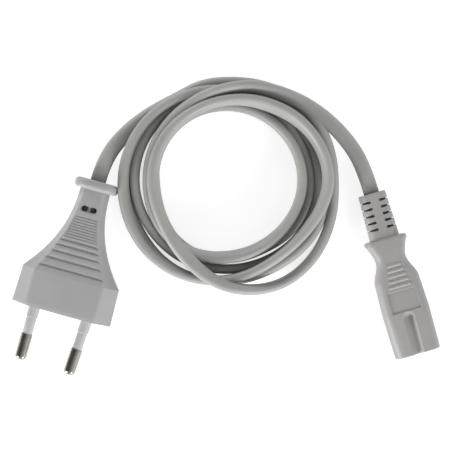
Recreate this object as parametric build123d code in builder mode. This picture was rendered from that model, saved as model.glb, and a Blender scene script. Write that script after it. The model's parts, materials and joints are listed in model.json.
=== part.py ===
"""Two-core power cord: moulded round-pin plug, figure-8 appliance connector and a coiled flat lead.

Millimetres. The cord lies on the plane Z = 0, and +X and +Y are right and up in the view from above.
The origin is under the middle of the box round the plug and the connector.
Each moulding is measured from its face: "behind" is the distance back from the face towards the cord.
"""

import os
from math import cos, degrees, pi, radians, sin, tan

from build123d import *

os.makedirs("parts", exist_ok=True)

# Fits
mould_gap = 0.05

# Flat lead with two cores
cord_width = 5.4
cord_thickness = 3.3
core_radius = 1.05
core_spacing = 2.3
core_bend_radius = 3.0
strand_radius = 0.55

# Where the plug and the connector lie
plug_face_x = -57.03
plug_face_y = -12.81
plug_heading = -105.6
connector_face_x = 66.18
connector_face_y = -26.82
connector_heading = -73.8

# Plug moulding
plug_face_width = 34.8
plug_shoulder_width = 34.0
plug_thickness = 13.7
plug_flat_width = 24.0
plug_face_flat_width = 23.2
plug_side_land = 2.4
plug_edge_radius = 1.2
shoulder_behind = 12.7
neck_behind = 43.7
neck_width = 10.3
neck_thickness = 9.0
neck_flat_width = 6.6
flare_power = 2.25
flat_power = 2.0
thickness_power = 2.0
flare_sections = 6
rim_width = 15.2
rim_height = 12.2
rim_corner_radius = 5.4
rim_thickness = 3.4
rim_front_rounding = 1.4
rim_back_rounding = 1.5

# Finger grooves across both broad sides of the plug: a steep wall towards the face and a long slope behind it
coarse_groove_count = 5
coarse_groove_first_behind = 14.5
coarse_groove_first_pitch = 3.0
coarse_groove_pitch_ratio = 0.88
coarse_groove_depth = 0.55
coarse_groove_wall = 0.25
coarse_groove_slope = 1.7
coarse_groove_overhang = 0.9
fine_groove_count = 9
fine_groove_first_behind = 26.1
fine_groove_pitch = 0.94
fine_groove_depth = 0.22
fine_groove_wall = 0.1
fine_groove_slope = 0.65
fine_groove_overhang = 0.4

# Window in the plug's neck, with a bar across its middle
window_behind = 36.9
window_length = 5.6
window_width = 2.2
window_depth = 0.8
window_ledge = 0.25
window_bar = 1.1

# Plug pins and their sleeves; the pair is turned a little about a place inside the plug, as the photo shows
pin_spacing_at_face = 18.6
pin_spacing_at_tip = 17.5
pair_turn = 1.8
pair_turn_behind = 5.0
pin_length = 19.5
pin_radius = 2.0
pin_metal_length = 9.1
pin_tip_radius = 1.4
pin_shank_radius = 1.3
pin_collar_radius = 2.4
pin_collar_thickness = 1.2
crimp_radius = 1.5
crimp_length = 6.0
crimp_bore_depth = 4.5
sleeve_radius = 1.75
sleeve_root_radius = 1.95
sleeve_root_length = 4.3
sleeve_seat_depth = 1.0

# Stiff bridge inside the plug, and the ends of the lead behind it
bridge_width = 26.0
bridge_height = 7.4
bridge_corner_radius = 1.5
bridge_wall = 1.6
bridge_depth = 7.0
plug_sheath_behind = 31.0
plug_core_turn = 27.6
plug_core_straight = 3.6

# Connector moulding
nose_length = 15.2
nose_width = 16.0
nose_height = 8.0
nose_corner_radius = 3.9
nose_edge_radius = 0.35
nose_groove_behind = 14.9
nose_groove_radius = 1.9
nose_groove_depth = 1.6
nose_groove_shoulder = 0.5
connector_height = 8.8
connector_front_width = 16.2
connector_corner_radius = 2.6
grip_behind = 26.0
grip_width = 15.3
waist_behind = 33.8
waist_width = 10.3
ear_behind = 39.9
ear_width = 14.6
ear_thickness = 1.4
ear_rounding = 0.6
ear_power = 1.7
grip_sections = 4
panel_front_behind = 15.4
panel_length = 7.4
panel_width = 10.0
panel_depth = 0.25
grip_rib_count = 5
grip_rib_first_behind = 24.4
grip_rib_pitch = 1.86
grip_rib_radius = 0.62
grip_rib_height = 0.3
grip_rib_first_length = 7.8
grip_rib_last_length = 5.0

# Strain relief of the connector
relief_length = 16.2
relief_root_width = 10.2
relief_root_height = 7.4
relief_tip_width = 9.4
relief_tip_height = 6.4
relief_corner_radius = 2.4
relief_tip_rounding = 0.5
relief_slot_count = 5
relief_slot_from_tip = 2.8
relief_slot_pitch = 2.41
relief_slot_width = 1.0
relief_slot_mouth = 0.1
relief_slot_overrun = 0.4
relief_spine_width = 2.9

# Contacts of the connector and the stiff carrier that holds them
contact_spacing = 8.6
contact_bore_radius = 1.22
contact_outer_radius = 1.65
contact_length = 10.0
contact_floor = 0.5
contact_slit = 0.5
contact_slit_length = 7.0
contact_lead_in = 0.25
contact_crimp_radius = 1.15
contact_crimp_length = 4.6
contact_crimp_bore_depth = 3.5
mouth_radius = 1.5
mouth_wall = 1.5
carrier_radius = 2.4
carrier_bar_height = 3.0
carrier_depth = 11.4
carrier_lip = 0.4
connector_sheath_behind = 38.0
connector_core_turn = 35.2
connector_core_straight = 6.5

# Coil of the lead, as the outer shape of its turns
coil_centre_x = 0.64
coil_centre_y = 30.81
coil_outer_radius = 38.0
coil_hole_width = 47.0
coil_hole_length = 48.4
coil_hole_shift = 1.6
coil_height = 12.6
coil_edge_radius = 3.2

# Route of the lead outside the coil: the straight start, then steps from where it leaves each moulding
plug_lead_start = 7.5
plug_lead_steps = [(8.45, 16.05), (17.95, 24.05), (26.95, 29.05)]
connector_lead_start = 9.8
connector_lead_steps = [(-8.8, 19.0), (-18.1, 27.8), (-28.6, 33.6)]

sides = ((-1, "left"), (1, "right"))
plug_mid_height = plug_thickness / 2
connector_mid_height = connector_height / 2 + grip_rib_height
plug_face = Vector(plug_face_x, plug_face_y, plug_mid_height)
connector_face = Vector(connector_face_x, connector_face_y, connector_mid_height)


def forward(heading):
    """The way that a moulding's face looks, seen from above."""
    return Vector(cos(radians(heading)), sin(radians(heading)), 0)


def rightward(heading):
    return Vector(0, 0, 1).cross(forward(heading))


def place(face, heading, behind, across=0.0, lift=0.0):
    """A point of a moulding: behind its face, to its right and above its middle height."""
    return face - forward(heading) * behind + rightward(heading) * across + Vector(0, 0, lift)


def section(face, heading, behind, across=0.0):
    """A plane across a moulding: x to the right, y up, facing forward."""
    origin = place(face, heading, behind, across)
    return Plane(origin, x_dir=rightward(heading), z_dir=forward(heading))


def plan(face, heading, behind=0.0, across=0.0, lift=0.0):
    """A plane seen from above: x to the right, y back from the face, facing up."""
    origin = place(face, heading, behind, across, lift)
    return Plane(origin, x_dir=rightward(heading), z_dir=(0, 0, 1))


def crosswise(face, heading, behind, length, lift):
    """A plane that looks to the right, half a length left of the middle, for bars that lie across."""
    origin = place(face, heading, behind, -length / 2, lift)
    return Plane(origin, x_dir=forward(heading), z_dir=rightward(heading))


# Places inside the plug, all measured behind its face
bridge_back = bridge_wall + bridge_depth
collar_front = bridge_wall + (bridge_depth - pin_collar_thickness) / 2
collar_back = collar_front + pin_collar_thickness
sleeve_end = bridge_wall + sleeve_seat_depth
metal_start = pin_length - pin_metal_length
rim_back = neck_behind + rim_thickness
pin_lean = degrees((pin_spacing_at_face - pin_spacing_at_tip) / 2 / pin_length)
pair_heading = plug_heading - pair_turn
turn_reach = pin_spacing_at_face / 2 * sin(radians(pair_turn)) + crimp_radius * sin(radians(pair_turn + pin_lean))
crimp_front = bridge_back + mould_gap + turn_reach
crimp_end = crimp_front + crimp_length
plug_line = Axis(plug_face, -forward(plug_heading))

# Places inside the connector, all measured behind its face
contact_front = mouth_wall + carrier_lip
contact_back = contact_front + contact_length
contact_crimp_end = contact_back + contact_crimp_length
carrier_back = mouth_wall + carrier_depth
ear_back = ear_behind + ear_thickness
relief_back = ear_back + relief_length
connector_line = Axis(connector_face, -forward(connector_heading))


def flare(behind):
    """How much of the plug's flare is left: 1 at the shoulder, 0 at the neck."""
    return 1 - (behind - shoulder_behind) / (neck_behind - shoulder_behind)


def flare_width(behind):
    return neck_width + (plug_shoulder_width - neck_width) * flare(behind) ** flare_power


def flare_thickness(behind):
    return neck_thickness + (plug_thickness - neck_thickness) * flare(behind) ** thickness_power


def flare_flat(behind):
    return neck_flat_width + (plug_flat_width - neck_flat_width) * flare(behind) ** flat_power


def plug_corners(width, thickness, flat):
    """Corners of the plug's eight-sided cross-section."""
    right_side = [
        (flat / 2, -thickness / 2),
        (width / 2, -plug_side_land / 2),
        (width / 2, plug_side_land / 2),
        (flat / 2, thickness / 2),
    ]
    left_side = [(-x, y) for x, y in reversed(right_side)]
    return right_side + left_side


def flare_profile(behind):
    return behind, flare_width(behind), flare_thickness(behind), flare_flat(behind)


# Cross-sections of the plug: how far behind the face, width, thickness and width of the flat
block_profiles = [
    (0, plug_face_width, plug_thickness, plug_face_flat_width),
    (shoulder_behind, plug_shoulder_width, plug_thickness, plug_flat_width),
]
flare_step = (neck_behind - shoulder_behind) / (flare_sections - 1)
flare_profiles = [flare_profile(shoulder_behind + number * flare_step) for number in range(flare_sections)]
window_floor = flare_thickness(window_behind) / 2 - window_depth

# Finger grooves: how far behind the face, depth, run of the wall, run of the slope and reach past the flat
coarse_places = [coarse_groove_first_behind]
for number in range(coarse_groove_count - 1):
    pitch = coarse_groove_first_pitch * coarse_groove_pitch_ratio**number
    coarse_places.append(coarse_places[-1] + pitch)
fine_places = [fine_groove_first_behind + number * fine_groove_pitch for number in range(fine_groove_count)]
coarse_groove = (coarse_groove_depth, coarse_groove_wall, coarse_groove_slope, coarse_groove_overhang)
fine_groove = (fine_groove_depth, fine_groove_wall, fine_groove_slope, fine_groove_overhang)
finger_grooves = [(behind, *coarse_groove) for behind in coarse_places]
finger_grooves += [(behind, *fine_groove) for behind in fine_places]


def grip_outline_width(behind):
    """Width of the connector's grip, which narrows to the waist and opens to the ears."""
    if behind <= waist_behind:
        share = (behind - grip_behind) / (waist_behind - grip_behind)
        return waist_width + (grip_width - waist_width) * (1 + cos(pi * share)) / 2
    share = (behind - waist_behind) / (ear_behind - waist_behind)
    return waist_width + (ear_width - waist_width) * share**ear_power


def pin_heading(side):
    """Each pin leans a little towards the other."""
    return pair_heading - side * pin_lean


def pin_root(side):
    pair_pivot = place(plug_face, plug_heading, pair_turn_behind)
    return place(pair_pivot, pair_heading, -pair_turn_behind, side * pin_spacing_at_face / 2)


def contact_root(side):
    return place(connector_face, connector_heading, 0, side * contact_spacing / 2)


def plug_core_points(side):
    """Route of a core in the plug: straight out of the sheath, spread sideways, straight into its crimp."""
    start = side * core_spacing / 2
    return [
        place(plug_face, plug_heading, plug_sheath_behind, start),
        place(plug_face, plug_heading, plug_core_turn, start),
        place(pin_root(side), pin_heading(side), crimp_end + plug_core_straight),
        place(pin_root(side), pin_heading(side), crimp_end),
    ]


def is_groove_rim(edge):
    """True for the edges where the grooves of the nose meet its broad sides."""
    offset = edge.center() - connector_face
    behind = -offset.dot(forward(connector_heading))
    across = offset.dot(rightward(connector_heading))
    near_groove = abs(across) < nose_groove_radius and nose_edge_radius < behind < nose_length
    return near_groove and abs(offset.Z) > nose_height / 2 - nose_edge_radius


def connector_core_points(side):
    """Route of a core in the connector, from the sheath's end to its crimp."""
    start = side * core_spacing / 2
    return [
        place(connector_face, connector_heading, connector_sheath_behind, start),
        place(connector_face, connector_heading, connector_core_turn, start),
        place(contact_root(side), connector_heading, contact_crimp_end + connector_core_straight),
        place(contact_root(side), connector_heading, contact_crimp_end),
    ]


def lead_points(face, heading, back, start, steps):
    """Corners of a lead's route: where it leaves its moulding, the straight start, then the steps."""
    leaves = place(face, heading, back)
    return [leaves, place(face, heading, back + start)] + [leaves + Vector(x, y, 0) for x, y in steps]


def lead_radii(points):
    """Each bend is as large as its two runs allow."""
    radii = []
    for before, corner, after in zip(points, points[1:], points[2:]):
        arriving = corner - before
        leaving = after - corner
        half_turn = radians(arriving.get_angle(leaving)) / 2
        radii.append(0.45 * min(arriving.length, leaving.length) / tan(half_turn))
    return radii


plug_lead_points = lead_points(plug_face, plug_heading, rim_back, plug_lead_start, plug_lead_steps)
connector_lead_points = lead_points(
    connector_face, connector_heading, relief_back, connector_lead_start, connector_lead_steps
)


# Pins, their sleeves, the cores behind them and the bared strands in their crimps
for side, name in sides:
    pin_plan = plan(pin_root(side), pin_heading(side))
    pin_axis = Axis(pin_root(side), forward(pin_heading(side)))

    with BuildPart() as pin:
        with BuildSketch(pin_plan) as pin_profile:
            with BuildLine():
                Polyline(
                    (0, -pin_length),
                    (pin_radius, -pin_length),
                    (pin_radius, -metal_start),
                    (pin_shank_radius, -metal_start),
                    (pin_shank_radius, collar_front),
                    (pin_collar_radius, collar_front),
                    (pin_collar_radius, collar_back),
                    (pin_shank_radius, collar_back),
                    (pin_shank_radius, crimp_front),
                    (crimp_radius, crimp_front),
                    (crimp_radius, crimp_end),
                    (strand_radius + mould_gap, crimp_end),
                    (strand_radius + mould_gap, crimp_end - crimp_bore_depth),
                    (0, crimp_end - crimp_bore_depth),
                    close=True,
                )
            make_face()
            fillet(pin_profile.vertices().group_by(Axis.Y)[0].sort_by(Axis.X)[-1], pin_tip_radius)
        revolve(axis=pin_axis)
    pin.part.label = f"pin_{name}"
    export_step(pin.part, f"parts/pin_{name}.step")

    with BuildPart() as pin_sleeve:
        with BuildSketch(pin_plan):
            with BuildLine():
                Polyline(
                    (pin_shank_radius + mould_gap, -metal_start),
                    (sleeve_radius, -metal_start),
                    (sleeve_radius, -sleeve_root_length),
                    (sleeve_root_radius, -sleeve_root_length),
                    (sleeve_root_radius, sleeve_end),
                    (pin_shank_radius + mould_gap, sleeve_end),
                    close=True,
                )
            make_face()
        revolve(axis=pin_axis)
    pin_sleeve.part.label = f"pin_sleeve_{name}"
    export_step(pin_sleeve.part, f"parts/pin_sleeve_{name}.step")

    with BuildPart() as plug_core:
        with BuildLine() as core_route:
            FilletPolyline(*plug_core_points(side), radius=core_bend_radius)
        with BuildSketch(Plane(core_route.line @ 0, z_dir=core_route.line % 0)):
            Circle(core_radius)
        sweep()
    plug_core.part.label = f"plug_core_{name}"
    export_step(plug_core.part, f"parts/plug_core_{name}.step")

    with BuildPart() as plug_strands:
        with BuildSketch(section(pin_root(side), pin_heading(side), crimp_end)):
            Circle(strand_radius)
        extrude(amount=crimp_bore_depth)
    plug_strands.part.label = f"plug_strands_{name}"
    export_step(plug_strands.part, f"parts/plug_strands_{name}.step")

# Stiff bridge, moulded round the collars of both pins
with BuildPart() as plug_bridge:
    with BuildSketch(section(plug_face, plug_heading, bridge_back)):
        RectangleRounded(bridge_width, bridge_height, bridge_corner_radius)
    extrude(amount=bridge_depth)
    for side, name in sides:
        with BuildSketch(section(pin_root(side), pin_heading(side), bridge_back + 1)):
            Circle(pin_shank_radius + mould_gap)
        extrude(amount=bridge_depth + 2, mode=Mode.SUBTRACT)
        with BuildSketch(section(pin_root(side), pin_heading(side), collar_back + mould_gap)):
            Circle(pin_collar_radius + mould_gap)
        extrude(amount=pin_collar_thickness + 2 * mould_gap, mode=Mode.SUBTRACT)
        with BuildSketch(section(pin_root(side), pin_heading(side), sleeve_end)):
            Circle(sleeve_root_radius + mould_gap)
        extrude(amount=sleeve_seat_depth + 1, mode=Mode.SUBTRACT)
plug_bridge.part.label = "plug_bridge"
export_step(plug_bridge.part, "parts/plug_bridge.step")

# End of the sheath in the plug's neck
with BuildPart() as plug_sheath_end:
    with BuildSketch(section(plug_face, plug_heading, rim_back)):
        SlotOverall(cord_width, cord_thickness)
    extrude(amount=rim_back - plug_sheath_behind)
plug_sheath_end.part.label = "plug_sheath_end"
export_step(plug_sheath_end.part, "parts/plug_sheath_end.step")

# Plug moulding
with BuildPart() as plug_body:
    # Block with the face, and the flare that draws in to the neck
    for profiles in (block_profiles, flare_profiles):
        for behind, width, thickness, flat in profiles:
            with BuildSketch(section(plug_face, plug_heading, behind)) as profile:
                Polygon(*plug_corners(width, thickness, flat), align=None)
                levels = profile.vertices().group_by(Axis.Y)
                fillet(levels[0] + levels[-1], plug_edge_radius)
        loft()

    # Rim
    with BuildSketch(section(plug_face, plug_heading, rim_back)):
        RectangleRounded(rim_width, rim_height, rim_corner_radius)
    extrude(amount=rim_thickness)
    rim_faces = plug_body.faces().filter_by(Plane(plug_face, z_dir=forward(plug_heading)))
    rim_back_face = rim_faces.sort_by(plug_line)[-1]
    rim_front_face = rim_faces.sort_by(plug_line)[-2]
    fillet(rim_back_face.outer_wire().edges(), rim_back_rounding)
    fillet(rim_front_face.outer_wire().edges(), rim_front_rounding)

    # Finger grooves on both broad sides
    for up in (-1, 1):
        for behind, depth, wall, slope, overhang in finger_grooves:
            length = flare_flat(behind) + 2 * overhang
            lift = up * flare_thickness(behind) / 2
            with BuildSketch(crosswise(plug_face, plug_heading, behind, length, lift)):
                Polygon((2 * wall, -up * depth), (0, up * depth), (-2 * slope, -up * depth), align=None)
            extrude(amount=length, mode=Mode.SUBTRACT)

    # Window on both broad sides, open down to the sheath beside its bar
    for up in (-1, 1):
        with BuildSketch(plan(plug_face, plug_heading, window_behind, 0, up * window_floor)):
            SlotOverall(window_length, window_width)
        extrude(amount=up * plug_thickness, mode=Mode.SUBTRACT)
        with BuildSketch(plan(plug_face, plug_heading, window_behind)):
            SlotOverall(window_length - 2 * window_ledge, window_width - 2 * window_ledge)
            Rectangle(window_bar, window_width, mode=Mode.SUBTRACT)
        extrude(amount=up * window_floor, mode=Mode.SUBTRACT)

    # Room for the bridge, the sleeves, the crimps, the cores and the sheath
    with BuildSketch(section(plug_face, plug_heading, bridge_back + mould_gap)):
        RectangleRounded(
            bridge_width + 2 * mould_gap, bridge_height + 2 * mould_gap, bridge_corner_radius + mould_gap
        )
    extrude(amount=bridge_depth + 2 * mould_gap, mode=Mode.SUBTRACT)
    for side, name in sides:
        with BuildSketch(section(pin_root(side), pin_heading(side), bridge_wall + 1)):
            Circle(sleeve_root_radius + mould_gap)
        extrude(amount=bridge_wall + 2, mode=Mode.SUBTRACT)
        with BuildSketch(section(pin_root(side), pin_heading(side), crimp_end)):
            Circle(crimp_radius + mould_gap)
        extrude(amount=crimp_length + 1, mode=Mode.SUBTRACT)
        with BuildLine() as core_route:
            FilletPolyline(*plug_core_points(side), radius=core_bend_radius)
        with BuildSketch(Plane(core_route.line @ 0, z_dir=core_route.line % 0)):
            Circle(core_radius + mould_gap)
        sweep(mode=Mode.SUBTRACT)
    with BuildSketch(section(plug_face, plug_heading, rim_back + 1)):
        SlotOverall(cord_width + 2 * mould_gap, cord_thickness + 2 * mould_gap)
    extrude(amount=rim_back + 1 - plug_sheath_behind, mode=Mode.SUBTRACT)
plug_body.part.label = "plug_body"
export_step(plug_body.part, "parts/plug_body.step")

# Contacts, the cores behind them and the bared strands in their crimps
for side, name in sides:
    with BuildPart() as contact:
        with BuildSketch(plan(contact_root(side), connector_heading)):
            with BuildLine():
                Polyline(
                    (0, contact_back - contact_floor),
                    (contact_bore_radius, contact_back - contact_floor),
                    (contact_bore_radius, contact_front + contact_lead_in),
                    (contact_bore_radius + contact_lead_in, contact_front),
                    (contact_outer_radius, contact_front),
                    (contact_outer_radius, contact_back),
                    (contact_crimp_radius, contact_back),
                    (contact_crimp_radius, contact_crimp_end),
                    (strand_radius + mould_gap, contact_crimp_end),
                    (strand_radius + mould_gap, contact_crimp_end - contact_crimp_bore_depth),
                    (0, contact_crimp_end - contact_crimp_bore_depth),
                    close=True,
                )
            make_face()
        revolve(axis=Axis(contact_root(side), forward(connector_heading)))
        with BuildSketch(plan(contact_root(side), connector_heading, contact_front)):
            Rectangle(contact_slit, 2 * contact_slit_length)
        extrude(amount=contact_outer_radius + 1, both=True, mode=Mode.SUBTRACT)
    contact.part.label = f"contact_{name}"
    export_step(contact.part, f"parts/contact_{name}.step")

    with BuildPart() as connector_core:
        with BuildLine() as core_route:
            FilletPolyline(*connector_core_points(side), radius=core_bend_radius)
        with BuildSketch(Plane(core_route.line @ 0, z_dir=core_route.line % 0)):
            Circle(core_radius)
        sweep()
    connector_core.part.label = f"connector_core_{name}"
    export_step(connector_core.part, f"parts/connector_core_{name}.step")

    with BuildPart() as connector_strands:
        with BuildSketch(section(contact_root(side), connector_heading, contact_crimp_end)):
            Circle(strand_radius)
        extrude(amount=contact_crimp_bore_depth)
    connector_strands.part.label = f"connector_strands_{name}"
    export_step(connector_strands.part, f"parts/connector_strands_{name}.step")

# Stiff carrier with a pocket for each contact
with BuildPart() as connector_carrier:
    with BuildSketch(section(connector_face, connector_heading, carrier_back)):
        with GridLocations(contact_spacing, 0, 2, 1):
            Circle(carrier_radius)
        Rectangle(contact_spacing, carrier_bar_height)
    extrude(amount=carrier_depth)
    for side, name in sides:
        with BuildSketch(section(contact_root(side), connector_heading, carrier_back + 1)):
            Circle(contact_outer_radius + mould_gap)
        extrude(amount=carrier_back + 1 - contact_front, mode=Mode.SUBTRACT)
        with BuildSketch(section(contact_root(side), connector_heading, contact_front + 1)):
            Circle(mouth_radius)
        extrude(amount=carrier_lip + 2, mode=Mode.SUBTRACT)
connector_carrier.part.label = "connector_carrier"
export_step(connector_carrier.part, "parts/connector_carrier.step")

# End of the sheath in the strain relief
with BuildPart() as connector_sheath_end:
    with BuildSketch(section(connector_face, connector_heading, relief_back)):
        SlotOverall(cord_width, cord_thickness)
    extrude(amount=relief_back - connector_sheath_behind)
connector_sheath_end.part.label = "connector_sheath_end"
export_step(connector_sheath_end.part, "parts/connector_sheath_end.step")

# Connector moulding
with BuildPart() as connector_body:
    # Ears
    with BuildSketch(section(connector_face, connector_heading, ear_back)):
        RectangleRounded(ear_width, connector_height, connector_corner_radius)
    extrude(amount=ear_thickness)
    fillet(connector_body.faces().sort_by(connector_line)[-1].edges(), ear_rounding)

    # Strain relief
    for behind, width, height in (
        (ear_back - ear_rounding, relief_root_width, relief_root_height),
        (relief_back, relief_tip_width, relief_tip_height),
    ):
        with BuildSketch(section(connector_face, connector_heading, behind)):
            RectangleRounded(width, height, relief_corner_radius)
    loft()
    fillet(connector_body.faces().sort_by(connector_line)[-1].edges(), relief_tip_rounding)

    # Slots from both sides of the strain relief, round at their inner ends and narrow at the outside
    slot_reach = (relief_root_width - relief_spine_width - relief_slot_width) / 2 + relief_slot_overrun
    for number in range(relief_slot_count):
        behind = relief_back - relief_slot_from_tip - number * relief_slot_pitch
        for side, name in sides:
            across = side * (relief_spine_width + relief_slot_width) / 2
            with BuildSketch(plan(connector_face, connector_heading, behind, across)):
                Circle(relief_slot_width / 2)
                Polygon(
                    (0, relief_slot_width / 2),
                    (0, -relief_slot_width / 2),
                    (side * slot_reach, -relief_slot_mouth / 2),
                    (side * slot_reach, relief_slot_mouth / 2),
                    align=None,
                )
            extrude(amount=relief_root_height, both=True, mode=Mode.SUBTRACT)

    # Grip: waist and the sides that open to the ears
    grip_places = [grip_behind + (waist_behind - grip_behind) * n / grip_sections for n in range(grip_sections)]
    grip_places += [
        waist_behind + (ear_behind - waist_behind) * n / (grip_sections - 1) for n in range(grip_sections)
    ]
    for behind in grip_places:
        with BuildSketch(section(connector_face, connector_heading, behind)):
            RectangleRounded(grip_outline_width(behind), connector_height, connector_corner_radius)
    loft()

    # Body in front of the grip, and the nose
    for behind, width in ((nose_length, connector_front_width), (grip_behind, grip_width)):
        with BuildSketch(section(connector_face, connector_heading, behind)):
            RectangleRounded(width, connector_height, connector_corner_radius)
    loft()
    for behind, width, height, corner_radius in (
        (0, nose_width, nose_height, nose_corner_radius),
        (nose_length, connector_front_width, connector_height, connector_corner_radius),
    ):
        with BuildSketch(section(connector_face, connector_heading, behind)):
            RectangleRounded(width, height, corner_radius)
    loft()

    # Groove along both broad sides of the nose, with a rounded end in front of the panel
    groove_end = nose_groove_behind - nose_groove_radius
    for up in (-1, 1):
        lift = up * (connector_height / 2 - nose_groove_depth + nose_groove_radius)
        with BuildSketch(section(connector_face, connector_heading, groove_end)):
            with Locations((0, lift)):
                Circle(nose_groove_radius)
        extrude(amount=groove_end + 1, mode=Mode.SUBTRACT)
        with Locations(place(connector_face, connector_heading, groove_end, 0, lift)):
            Sphere(nose_groove_radius, mode=Mode.SUBTRACT)
    fillet(connector_body.edges().filter_by(is_groove_rim), nose_groove_shoulder)
    fillet(connector_body.faces().sort_by(connector_line)[0].edges(), nose_edge_radius)

    # Ribs and a shallow panel on both broad sides
    for up in (-1, 1):
        for number in range(grip_rib_count):
            behind = grip_rib_first_behind + number * grip_rib_pitch
            share = number / (grip_rib_count - 1)
            length = grip_rib_first_length + (grip_rib_last_length - grip_rib_first_length) * share
            lift = up * (connector_height / 2 + grip_rib_height - grip_rib_radius)
            with BuildSketch(crosswise(connector_face, connector_heading, behind, length, lift)):
                Circle(grip_rib_radius)
            extrude(amount=length)
        panel_middle = panel_front_behind + panel_length / 2
        surface = up * connector_height / 2
        with BuildSketch(plan(connector_face, connector_heading, panel_middle, 0, surface)):
            Rectangle(panel_width, panel_length)
        extrude(amount=-up * panel_depth, mode=Mode.SUBTRACT)

    # Room for the carrier, the contacts, the cores and the sheath
    with BuildSketch(section(connector_face, connector_heading, carrier_back + mould_gap)):
        with GridLocations(contact_spacing, 0, 2, 1):
            Circle(carrier_radius + mould_gap)
        Rectangle(contact_spacing, carrier_bar_height + 2 * mould_gap)
    extrude(amount=carrier_depth + 2 * mould_gap, mode=Mode.SUBTRACT)
    for side, name in sides:
        with BuildSketch(section(contact_root(side), connector_heading, mouth_wall + 1)):
            Circle(mouth_radius)
        extrude(amount=mouth_wall + 2, mode=Mode.SUBTRACT)
        with BuildSketch(section(contact_root(side), connector_heading, contact_crimp_end)):
            Circle(contact_crimp_radius + mould_gap)
        extrude(amount=contact_crimp_end - carrier_back + 1, mode=Mode.SUBTRACT)
        with BuildLine() as core_route:
            FilletPolyline(*connector_core_points(side), radius=core_bend_radius)
        with BuildSketch(Plane(core_route.line @ 0, z_dir=core_route.line % 0)):
            Circle(core_radius + mould_gap)
        sweep(mode=Mode.SUBTRACT)
    with BuildSketch(section(connector_face, connector_heading, relief_back + 1)):
        SlotOverall(cord_width + 2 * mould_gap, cord_thickness + 2 * mould_gap)
    extrude(amount=relief_back + 1 - connector_sheath_behind, mode=Mode.SUBTRACT)
connector_body.part.label = "connector_body"
export_step(connector_body.part, "parts/connector_body.step")

# Lead from the plug to the coil
with BuildPart() as cord_plug_lead:
    with BuildLine() as plug_route:
        FilletPolyline(*plug_lead_points, radius=lead_radii(plug_lead_points))
    with BuildSketch(section(plug_face, plug_heading, rim_back)):
        SlotOverall(cord_width, cord_thickness)
    sweep()
cord_plug_lead.part.label = "cord_plug_lead"
export_step(cord_plug_lead.part, "parts/cord_plug_lead.step")

# Lead from the connector to the coil
with BuildPart() as cord_connector_lead:
    with BuildLine() as connector_route:
        FilletPolyline(*connector_lead_points, radius=lead_radii(connector_lead_points))
    with BuildSketch(section(connector_face, connector_heading, relief_back)):
        SlotOverall(cord_width, cord_thickness)
    sweep()
cord_connector_lead.part.label = "cord_connector_lead"
export_step(cord_connector_lead.part, "parts/cord_connector_lead.step")

# Outer shape of the coil, with a seat where each lead goes in
with BuildPart() as cord_coil:
    with BuildSketch(Plane((coil_centre_x, coil_centre_y, 0))):
        Circle(coil_outer_radius)
        with Locations((0, coil_hole_shift)):
            Ellipse(coil_hole_width / 2, coil_hole_length / 2, mode=Mode.SUBTRACT)
    extrude(amount=coil_height)
    fillet(cord_coil.edges().filter_by(GeomType.LINE, reverse=True), coil_edge_radius)
    with BuildLine():
        FilletPolyline(*plug_lead_points, radius=lead_radii(plug_lead_points))
    with BuildSketch(section(plug_face, plug_heading, rim_back)):
        SlotOverall(cord_width + 2 * mould_gap, cord_thickness + 2 * mould_gap)
    sweep(mode=Mode.SUBTRACT)
    with BuildLine():
        FilletPolyline(*connector_lead_points, radius=lead_radii(connector_lead_points))
    with BuildSketch(section(connector_face, connector_heading, relief_back)):
        SlotOverall(cord_width + 2 * mould_gap, cord_thickness + 2 * mould_gap)
    sweep(mode=Mode.SUBTRACT)
cord_coil.part.label = "cord_coil"
export_step(cord_coil.part, "parts/cord_coil.step")

# Bend radii and volumes of the two leads
cord_section = cord_thickness * (cord_width - cord_thickness) + pi * cord_thickness**2 / 4
for lead, route, points in (
    (cord_plug_lead, plug_route, plug_lead_points),
    (cord_connector_lead, connector_route, connector_lead_points),
):
    length = sum(edge.length for edge in route.edges())
    print(lead.part.label, "length", round(length, 1), "bend radii", [round(r, 1) for r in lead_radii(points)])
    print("  volume", round(lead.part.volume, 1), "section x length", round(cord_section * length, 1))
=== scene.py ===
"""Looks of the power cord: the lead as one flat tube along its route, and the finish of every piece.

Metres, in the frame of the solids: +Z is up from the table and the camera looks straight down.
"""

import json
from math import atan2, cos, pi, radians, sin

import bpy
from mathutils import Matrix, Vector


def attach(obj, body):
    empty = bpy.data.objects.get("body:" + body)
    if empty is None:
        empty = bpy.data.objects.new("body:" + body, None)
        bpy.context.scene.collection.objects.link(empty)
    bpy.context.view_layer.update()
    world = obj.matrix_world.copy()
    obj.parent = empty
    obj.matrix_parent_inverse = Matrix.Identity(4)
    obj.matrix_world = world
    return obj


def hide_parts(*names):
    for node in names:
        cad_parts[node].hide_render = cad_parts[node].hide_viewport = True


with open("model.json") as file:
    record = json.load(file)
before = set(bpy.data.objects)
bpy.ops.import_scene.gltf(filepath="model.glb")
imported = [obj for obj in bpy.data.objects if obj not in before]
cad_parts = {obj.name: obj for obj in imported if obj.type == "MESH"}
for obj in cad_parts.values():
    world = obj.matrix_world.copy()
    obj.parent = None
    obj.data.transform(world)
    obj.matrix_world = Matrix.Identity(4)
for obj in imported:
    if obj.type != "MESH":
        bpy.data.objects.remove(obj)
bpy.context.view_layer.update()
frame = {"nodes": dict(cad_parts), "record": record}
scene = bpy.context.scene
millimetre = 0.001

# Camera
view_centre_x = 0.00007
view_centre_y = 0.01679
plug_mid_height = 0.00685
camera_distance = 0.450
seen_width = 0.15655
camera_near = 0.05
camera_far = 5.0

# Flat lead
cord_width = 0.0054
cord_thickness = 0.0033
cord_side_points = 10
route_resolution = 5

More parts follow.
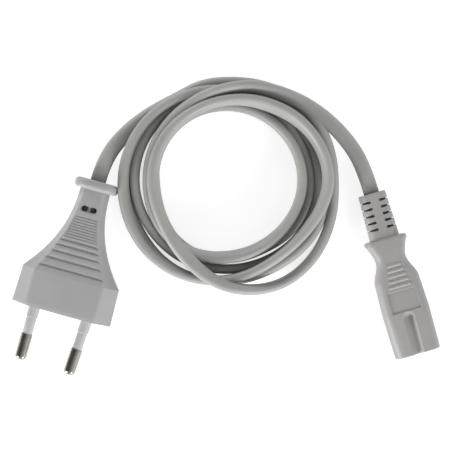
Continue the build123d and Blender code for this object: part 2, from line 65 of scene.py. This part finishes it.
# Route outside the coil: the same points as the leads of the solids, each with a height of its own
plug_exit = (-0.04436, 0.03255)
plug_lead_steps = [(0.00202, 0.00722), (0.00845, 0.01605), (0.01795, 0.02405), (0.02695, 0.02905)]
plug_lead_heights = [0.00685, 0.0066, 0.0056, 0.0044, 0.0033]
connector_exit = (0.05014, 0.0284)
connector_lead_steps = [(-0.00273, 0.00941), (-0.0088, 0.019), (-0.0181, 0.0278), (-0.0286, 0.0336)]
connector_lead_heights = [0.0047, 0.0048, 0.0054, 0.0065, 0.0078]

# Coil: for each turn, the distance from its centre at the twelve hours of a clock face, in millimetres
coil_centre_x = 0.00066
coil_centre_y = 0.03111
hours = 12
steps_per_hour = 2
radius_before = 36.5
turn_radii = [
    [36.0, 37.3, 37.6, 36.3, 38.0, 38.7, 34.9, 28.5, 25.6, 25.6, 27.3, 28.0],
    [29.3, 31.0, 33.6, 34.2, 30.6, 29.9, 32.4, 34.9, 35.9, 36.2, 36.1, 34.8],
    [33.2, 32.6, 31.9, 31.3, 30.3, 29.1, 28.9, 29.7, 30.8, 32.4, 33.2, 33.2],
    [33.8, 34.3, 34.8, 34.4, 33.7, 32.3, 33.0, 34.6, 34.6, 35.2, 35.3, 34.1],
    [32.0, 29.8, 28.6, 28.1, 27.0, 24.9, 25.3, 26.2, 25.9, 25.8, 27.1, 27.9],
    [27.7, 26.8, 26.1, 25.3, 24.1, 23.8, 24.6, 26.5, 27.7, 27.9, 29.2, 30.6],
]
radii_after = [33.3, 36.6]

# Height of the lead's middle at the same hours, in millimetres
floor_height = 2.82
height_before = 3.1
turn_heights = [
    [2.9, 3.4, 5.0, 5.0, 3.0, 3.8, 10.4, 11.6, 11.4, 11.2, 10.0, 9.0],
    [8.6, 9.2, 9.8, 9.8, 9.2, 8.6, 7.2, 7.3, 7.8, 7.9, 8.0, 7.0],
    [3.9] + [floor_height] * 6 + [3.0, 4.0, 6.3, 5.4, floor_height],
    [floor_height] * 4 + [3.6, 4.4, 3.2] + [floor_height] * 5,
    [floor_height] * 12,
    [3.1, 5.2, 7.0, 7.3, 7.4, 7.7, 7.9, 7.3, 7.0, 7.0, 7.4, 8.0],
]
heights_after = [8.4, 7.6]

# Lean of the lead at the same hours, in degrees: 0 stands on its edge, 90 lies flat
flat_lean = 90
lean_before = 12
turn_leans = [
    [5, 0, 0, 0, 6, 10, 16, 50, 28, 34, 4, 6],
    [12, 38, 22, 20, 12, 0, 0, 0, 18, 22, 8, 0],
    [0] * 12,
    [0] * 12,
    [0] * 12,
    [0, 0, 0, 4, 8, 24, 32, 20, 0, 0, 0, 10],
]
leans_after = [20, 47, 70, flat_lean]

# The plug's lead turns from flat to the first lean between these hours, counted from the first turn's top
plug_exit_hour = -2.9
first_lean_hour = -1.0

# Web between the slots of the connector's strain relief, from its end along the connector
connector_heading = -73.8
connector_mid_height = 0.0047
web_start = 0.0005
web_length = 0.0145
web_width = 0.0084
web_thickness = 0.0012

# Finishes: the colour as it looks on a screen, from 0 to 255, and the roughness from 0 to 1
plastics = {
    "plug_plastic": ((164, 164, 165), 0.42),
    "connector_plastic": ((162, 160, 159), 0.46),
    "sleeve_plastic": ((190, 190, 190), 0.35),
    # Painted shade: the bridge seen through the plug's window is coloured near black, so the window looks
    # as deep and dark as its shadow
    "bridge_plastic": ((14, 14, 15), 0.5),
    "core_blue": ((60, 100, 170), 0.4),
    "core_brown": ((120, 80, 55), 0.4),
}
metals = {
    "nickel": ((160, 156, 148), 0.1),
    "contact_brass": ((215, 190, 130), 0.3),
    "copper": ((205, 140, 110), 0.35),
}
cord_colour = (162, 162, 159)
cord_roughness = 0.4
floor_colour = (190, 190, 190)
floor_roughness = 0.8
floor_shine = 0.1
screen_gamma = 2.2

# Surfaces: patterns by their size and bumps by their depth, in metres, and changes as shares of 1
plastic_skin = {
    "cloud_size": 0.012,
    "cloud_change": 0.035,
    "grain_size": 0.0003,
    "grain_detail": 3.0,
    "grain_depth": 0.000012,
    "wave_size": 0.004,
    "wave_depth": 0.00003,
    "smoother": 0.06,
    "rougher": 0.08,
}
cord_skin = {
    "cloud_size": 0.01,
    "cloud_change": 0.04,
    "grain_size": 0.0005,
    "grain_detail": 2.0,
    "grain_depth": 0.000008,
    "wave_size": 0.003,
    "wave_depth": 0.00004,
    "smoother": 0.0,
    "rougher": 0.1,
}
metal_skin = {
    "tarnish_size": 0.002,
    "tarnish_change": 0.12,
    "mark_size": 0.0002,
    "mark_depth": 0.000004,
    "smoother": 0.05,
    "rougher": 0.1,
}
cloud_detail = 3.0
tarnish_detail = 4.0
grain_contrast = 0.6
dark_patch_end = 0.3
bright_patch_start = 0.7

# Moulded edges look rounded by these radii; the plug's are larger in front of its grooves
plug_heading = -105.6
plug_front_start = 0.0152
plug_front_blend = 0.0015
groove_edge_radius = 0.0007
front_edge_radius = 0.0022
soft_edge_radius = 0.0004
soft_edge_samples = 6

# Floor and light; an azimuth is counted from +X towards +Y, in degrees
floor_size = 6.0
floor_glow = 0.75
zenith_strength = 0.42
horizon_strength = 1.35
bright_azimuth = -16
bright_share = 1.05
dark_share = 0.2
side_blend = 0.6
lamp_distance = 1.3
lamp_size = 0.5
lamp_target = Vector((0.0, 0.02, 0.0))
lamps = {
    "front_left_lamp": {"azimuth": 214, "elevation": 13, "power": 14.5},
    "front_right_lamp": {"azimuth": -60, "elevation": 20, "power": 9.0},
    "back_left_lamp": {"azimuth": 116, "elevation": 16, "power": 8.0},
}


def level_direction(azimuth):
    """The level direction of length 1 at an azimuth in degrees."""
    return (cos(radians(azimuth)), sin(radians(azimuth)), 0)


def smooth_value(values, place):
    """The value at a place between the entries, on a smooth curve through them."""
    last = len(values) - 1
    place = min(max(place, 0.0), float(last))
    number = min(int(place), last - 1)
    share = place - number
    before = values[max(number - 1, 0)]
    start = values[number]
    end = values[number + 1]
    after = values[min(number + 2, last)]
    start_slope = (end - before) / 2
    end_slope = (after - start) / 2
    share_squared = share * share
    share_cubed = share_squared * share
    return (
        start * (2 * share_cubed - 3 * share_squared + 1)
        + start_slope * (share_cubed - 2 * share_squared + share)
        + end * (3 * share_squared - 2 * share_cubed)
        + end_slope * (share_cubed - share_squared)
    )


def all_hours(before, turns, after):
    """One list from the hour before the first turn to the hours after the last."""
    joined = [before]
    for turn in turns:
        joined += turn
    return joined + after


def lead_points(exit_point, steps, heights):
    """The control points of a lead, from where it leaves its moulding."""
    places = [exit_point] + [(exit_point[0] + x, exit_point[1] + y) for x, y in steps]
    return [Vector((x, y, z)) for (x, y), z in zip(places, heights)]


def coil_points():
    """The control points of the turns, clockwise, with one step more at each end."""
    radii = all_hours(radius_before, turn_radii, radii_after)
    heights = all_hours(height_before, turn_heights, heights_after)
    step_angle = 2 * pi / (hours * steps_per_hour)
    # The curve runs inside its control points, so they stand further out than the radii say
    spread = millimetre / cos(step_angle / 2)
    points = []
    for step in range(-1, hours * steps_per_hour * len(turn_radii) + 2):
        # The lists begin an hour before the top of the first turn
        entry = step / steps_per_hour + 1
        angle = step * step_angle
        radius = smooth_value(radii, entry) * spread
        height = smooth_value(heights, entry) * millimetre
        x = coil_centre_x + radius * sin(angle)
        y = coil_centre_y + radius * cos(angle)
        points.append(Vector((x, y, height)))
    return points


def cord_path():
    """The points of one smooth spline along the plug's lead, the coil and the connector's lead."""
    plug_lead = lead_points(plug_exit, plug_lead_steps, plug_lead_heights)
    connector_lead = lead_points(connector_exit, connector_lead_steps, connector_lead_heights)
    controls = plug_lead + coil_points() + connector_lead[::-1]
    curve = bpy.data.curves.new("cord_route", "CURVE")
    curve.dimensions = "3D"
    curve.resolution_u = route_resolution
    spline = curve.splines.new("NURBS")
    spline.points.add(len(controls) - 1)
    for point, control in zip(spline.points, controls):
        point.co = (*control, 1.0)
    spline.order_u = 3
    spline.use_endpoint_u = True
    route = bpy.data.objects.new("cord_route", curve)
    scene.collection.objects.link(route)
    line = bpy.data.meshes.new_from_object(route)
    path = [vertex.co.copy() for vertex in line.vertices]
    bpy.data.objects.remove(route)
    bpy.data.meshes.remove(line)
    return path


def hours_along(path):
    """For each point, the hours that the route has turned since the top of the first turn."""
    turned = []
    for point in path:
        angle = atan2(point.x - coil_centre_x, point.y - coil_centre_y) / (2 * pi) * hours
        if not turned:
            turned.append(angle)
            continue
        change = (angle - turned[-1] + hours / 2) % hours - hours / 2
        turned.append(turned[-1] + change)
    return turned


def lean_at(turned, leans):
    """The lead lies flat where it leaves the mouldings, and leans as listed in the coil."""
    if turned < first_lean_hour:
        share = min((first_lean_hour - turned) / (first_lean_hour - plug_exit_hour), 1.0)
        ease = share * share * (3 - 2 * share)
        return lean_before + (flat_lean - lean_before) * ease
    return smooth_value(leans, turned + 1)


def cord_outline():
    """The flat lead's cross-section: half a round at each end of its width."""
    outline = []
    straight = (cord_width - cord_thickness) / 2
    for end in (1, -1):
        for number in range(cord_side_points):
            angle = pi * number / (cord_side_points - 1)
            across = end * (straight + cord_thickness / 2 * sin(angle))
            out = end * cord_thickness / 2 * cos(angle)
            outline.append((across, out))
    return outline


def tube_faces(rings, around):
    """The faces of a closed tube: its side from ring to ring, then a cap at each end."""
    faces = []
    for ring in range(rings - 1):
        for side in range(around):
            here = ring * around
            beyond = here + around
            next_side = (side + 1) % around
            faces.append((here + side, here + next_side, beyond + next_side, beyond + side))
    last_ring = (rings - 1) * around
    faces.append(tuple(range(around))[::-1])
    faces.append(tuple(last_ring + side for side in range(around)))
    return faces


def make_cord(path):
    """The lead as a tube with the flat cross-section, leaning as the coil needs, and its length."""
    leans = all_hours(lean_before, turn_leans, leans_after)
    turned = hours_along(path)
    outline = cord_outline()
    vertices = []
    length = 0.0
    for number, point in enumerate(path):
        ahead = path[min(number + 1, len(path) - 1)]
        behind = path[max(number - 1, 0)]
        along = (ahead - behind).normalized()
        outward = along.cross(Vector((0, 0, 1))).normalized() * -1
        upward = outward.cross(along).normalized()
        if upward.z < 0:
            upward = -upward
        lean = radians(lean_at(turned[number], leans))
        across = upward * cos(lean) + outward * sin(lean)
        out = outward * cos(lean) - upward * sin(lean)
        vertices += [point + across * a + out * o for a, o in outline]
        if number:
            length += (point - path[number - 1]).length
    mesh = bpy.data.meshes.new("cord")
    mesh.from_pydata(vertices, [], tube_faces(len(path), len(outline)))
    mesh.update()
    tube = bpy.data.objects.new("cord", mesh)
    scene.collection.objects.link(tube)
    return tube, length


def make_relief_web():
    """The moulded web that joins the ribs of the connector's strain relief and closes its slots."""
    along_x, along_y, _ = level_direction(connector_heading)
    middle = web_start + web_length / 2
    place = (
        connector_exit[0] + middle * along_x,
        connector_exit[1] + middle * along_y,
        connector_mid_height,
    )
    bpy.ops.object.select_all(action="DESELECT")
    bpy.ops.mesh.primitive_cube_add(size=1, location=place, rotation=(0, 0, radians(connector_heading)))
    web = bpy.context.object
    web.name = "relief_web"
    web.scale = (web_length, web_width, web_thickness)
    bpy.ops.object.transform_apply(location=True, rotation=True, scale=True)
    return web


def shown(colour):
    """A colour as it looks on a screen, turned into the light that it gives back."""
    return tuple((channel / 255) ** screen_gamma for channel in colour)


def new_finish(name):
    """A new material with its node tree, its main shader and the places on the piece."""
    material = bpy.data.materials.new(name)
    material.use_nodes = True
    tree = material.node_tree
    shader = tree.nodes["Principled BSDF"]
    places = tree.nodes.new("ShaderNodeTexCoord")
    return material, tree, shader, places.outputs["Object"]


def add_noise(tree, place, size, detail=2.0, contrast=0.5):
    """A noise pattern whose patches are about as wide as the size, in metres."""
    noise = tree.nodes.new("ShaderNodeTexNoise")
    noise.inputs["Scale"].default_value = 1 / size
    noise.inputs["Detail"].default_value = detail
    noise.inputs["Roughness"].default_value = contrast
    tree.links.new(place, noise.inputs["Vector"])
    return noise.outputs["Fac"]


def add_bump(tree, height, depth, normal=None):
    """A bump as deep as the depth, in metres, on top of an earlier one."""
    bump = tree.nodes.new("ShaderNodeBump")
    bump.inputs["Strength"].default_value = 1.0
    bump.inputs["Distance"].default_value = depth
    tree.links.new(height, bump.inputs["Height"])
    if normal is not None:
        tree.links.new(normal, bump.inputs["Normal"])
    return bump.outputs["Normal"]


def add_range(tree, value, start, end, at_start, at_end, curve="LINEAR"):
    """A value that goes from one number to another while its source goes from start to end."""
    change = tree.nodes.new("ShaderNodeMapRange")
    change.interpolation_type = curve
    change.inputs["From Min"].default_value = start
    change.inputs["From Max"].default_value = end
    change.inputs["To Min"].default_value = at_start
    change.inputs["To Max"].default_value = at_end
    tree.links.new(value, change.inputs["Value"])
    return change.outputs["Result"]


def add_reach(tree, place, azimuth):
    """How far a place lies in the level direction of an azimuth."""
    reach = tree.nodes.new("ShaderNodeVectorMath")
    reach.operation = "DOT_PRODUCT"
    reach.inputs[1].default_value = level_direction(azimuth)
    tree.links.new(place, reach.inputs[0])
    return reach.outputs["Value"]


def add_joined(tree, operation, first, second):
    """Two values joined by an operation such as MULTIPLY or MAXIMUM."""
    joined = tree.nodes.new("ShaderNodeMath")
    joined.operation = operation
    tree.links.new(first, joined.inputs[0])
    tree.links.new(second, joined.inputs[1])
    return joined.outputs["Value"]


def vary_colour(tree, shader, factor, colour, change):
    """The colour, a little darker and lighter in patches."""
    ramp = tree.nodes.new("ShaderNodeValToRGB")
    dark, bright = ramp.color_ramp.elements
    base = shown(colour)
    dark.position = dark_patch_end
    bright.position = bright_patch_start
    dark.color = (*[channel * (1 - change) for channel in base], 1)
    bright.color = (*[channel * (1 + change) for channel in base], 1)
    tree.links.new(factor, ramp.inputs["Fac"])
    tree.links.new(ramp.outputs["Color"], shader.inputs["Base Color"])


def vary_roughness(tree, shader, factor, roughness, skin):
    """The roughness, a little smoother and rougher by the factor."""
    low = roughness - skin["smoother"]
    high = roughness + skin["rougher"]
    tree.links.new(add_range(tree, factor, 0, 1, low, high), shader.inputs["Roughness"])


def plug_edge_radius(tree, place):
    """A large radius at the front of the plug and a small one from its grooves on."""
    ahead = add_reach(tree, place, plug_heading)
    front_end = plug_front_start + plug_front_blend
    return add_range(tree, ahead, plug_front_start, front_end, groove_edge_radius, front_edge_radius)


def add_soft_edges(tree, place, edge_radius):
    """Edges that look rounded, by one radius or by a radius that changes along the piece."""
    soft_edges = tree.nodes.new("ShaderNodeBevel")
    soft_edges.samples = soft_edge_samples
    soft_edges.inputs["Radius"].default_value = soft_edge_radius
    if edge_radius is not None:
        tree.links.new(edge_radius(tree, place), soft_edges.inputs["Radius"])
    return soft_edges.outputs["Normal"]


def add_skin(tree, shader, place, skin, colour, roughness, normal=None):
    """A moulded surface: faint clouds of colour, uneven sheen, and fine grain on shallow waves."""
    clouds = add_noise(tree, place, skin["cloud_size"], cloud_detail)
    vary_colour(tree, shader, clouds, colour, skin["cloud_change"])
    grain = add_noise(tree, place, skin["grain_size"], skin["grain_detail"], grain_contrast)
    vary_roughness(tree, shader, grain, roughness, skin)
    waves = add_bump(tree, add_noise(tree, place, skin["wave_size"]), skin["wave_depth"], normal)
    surface = add_bump(tree, grain, skin["grain_depth"], waves)
    tree.links.new(surface, shader.inputs["Normal"])


def satin_plastic(name, colour, roughness, edge_radius=None):
    """Moulded plastic: the moulded surface with soft edges."""
    material, tree, shader, place = new_finish(name)
    soft_edges = add_soft_edges(tree, place, edge_radius)
    add_skin(tree, shader, place, plastic_skin, colour, roughness, soft_edges)
    return material


def cord_jacket():
    """Soft sheath of the lead: the moulded surface alone, because the tube has no edges."""
    material, tree, shader, place = new_finish("cord_jacket")
    add_skin(tree, shader, place, cord_skin, cord_colour, cord_roughness)
    return material


def turned_metal(name, colour, roughness):
    """Plated metal with fine marks from turning and a little tarnish."""
    material, tree, shader, place = new_finish(name)
    shader.inputs["Metallic"].default_value = 1.0
    tarnish = add_noise(tree, place, metal_skin["tarnish_size"], tarnish_detail)
    vary_colour(tree, shader, tarnish, colour, metal_skin["tarnish_change"])
    marks = add_noise(tree, place, metal_skin["mark_size"])
    vary_roughness(tree, shader, marks, roughness, metal_skin)
    surface = add_bump(tree, marks, metal_skin["mark_depth"])
    tree.links.new(surface, shader.inputs["Normal"])
    return material


def floor_finish():
    """Pale floor that looks white where no shadow falls, and adds no light to the object."""
    material, tree, shader, _ = new_finish("floor")
    shader.inputs["Base Color"].default_value = (*shown(floor_colour), 1)
    shader.inputs["Roughness"].default_value = floor_roughness
    shader.inputs["Specular IOR Level"].default_value = floor_shine
    rays = tree.nodes.new("ShaderNodeLightPath")
    seen = rays.outputs["Is Camera Ray"]
    for kind in ("Is Glossy Ray", "Is Transmission Ray"):
        seen = add_joined(tree, "MAXIMUM", seen, rays.outputs[kind])
    glow = add_range(tree, seen, 0, 1, 0, floor_glow)
    shader.inputs["Emission Color"].default_value = (1, 1, 1, 1)
    tree.links.new(glow, shader.inputs["Emission Strength"])
    return material


def light_the_world():
    """A soft surround: dark overhead, bright low down, and brighter on the right than on the left."""
    world = bpy.data.worlds.new("surround")
    scene.world = world
    world.use_nodes = True
    tree = world.node_tree
    background = tree.nodes["Background"]
    background.inputs["Color"].default_value = (1, 1, 1, 1)
    direction = tree.nodes.new("ShaderNodeTexCoord").outputs["Generated"]
    parts = tree.nodes.new("ShaderNodeSeparateXYZ")
    tree.links.new(direction, parts.inputs["Vector"])
    by_height = add_range(tree, parts.outputs["Z"], 0, 1, horizon_strength, zenith_strength)
    facing = add_reach(tree, direction, bright_azimuth)
    by_side = add_range(tree, facing, -side_blend, side_blend, dark_share, bright_share, "SMOOTHSTEP")
    strength = add_joined(tree, "MULTIPLY", by_height, by_side)
    tree.links.new(strength, background.inputs["Strength"])


def add_lamp(name, lamp):
    """A round soft lamp that looks at the object from its azimuth and elevation."""
    azimuth = radians(lamp["azimuth"])
    elevation = radians(lamp["elevation"])
    reach = cos(elevation)
    direction = Vector((reach * cos(azimuth), reach * sin(azimuth), sin(elevation)))
    bpy.ops.object.light_add(type="AREA", location=lamp_target + direction * lamp_distance)
    light = bpy.context.object
    light.name = name
    light.data.shape = "DISK"
    light.data.size = lamp_size
    light.data.energy = lamp["power"]
    light.rotation_euler = (-direction).to_track_quat("-Z", "Y").to_euler()


# Camera
bpy.ops.object.camera_add(location=(view_centre_x, view_centre_y, plug_mid_height + camera_distance))
camera = bpy.context.object
camera.name = "camera"
camera.data.lens = camera.data.sensor_width * camera_distance / seen_width
camera.data.clip_start = camera_near
camera.data.clip_end = camera_far
scene.camera = camera

# Lead
route_path = cord_path()
cord, cord_length = make_cord(route_path)
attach(cord, "root")
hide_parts("cord_plug_lead", "cord_coil", "cord_connector_lead")

# Strain relief
relief_web = make_relief_web()
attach(relief_web, "root")

# Floor
bpy.ops.mesh.primitive_plane_add(size=floor_size, location=(0, 0, 0))
floor = bpy.context.object
floor.name = "floor"
floor.data.materials.append(floor_finish())

# Finishes of the pieces
edge_radii = {"plug_plastic": plug_edge_radius}
finishes = {"cord_jacket": cord_jacket()}
for name, (colour, roughness) in plastics.items():
    finishes[name] = satin_plastic(name, colour, roughness, edge_radii.get(name))
for name, (colour, roughness) in metals.items():
    finishes[name] = turned_metal(name, colour, roughness)
for subpart in frame["record"]["subparts"]:
    node = frame["nodes"][subpart["node"]]
    node.data.materials.clear()
    node.data.materials.append(finishes[subpart["material_slot"]])
cord.data.materials.append(finishes["cord_jacket"])
relief_web.data.materials.append(finishes["connector_plastic"])
cord.data.polygons.foreach_set("use_smooth", [True] * len(cord.data.polygons))

# Light
light_the_world()
for name, lamp in lamps.items():
    add_lamp(name, lamp)

scene.view_settings.view_transform = "Standard"
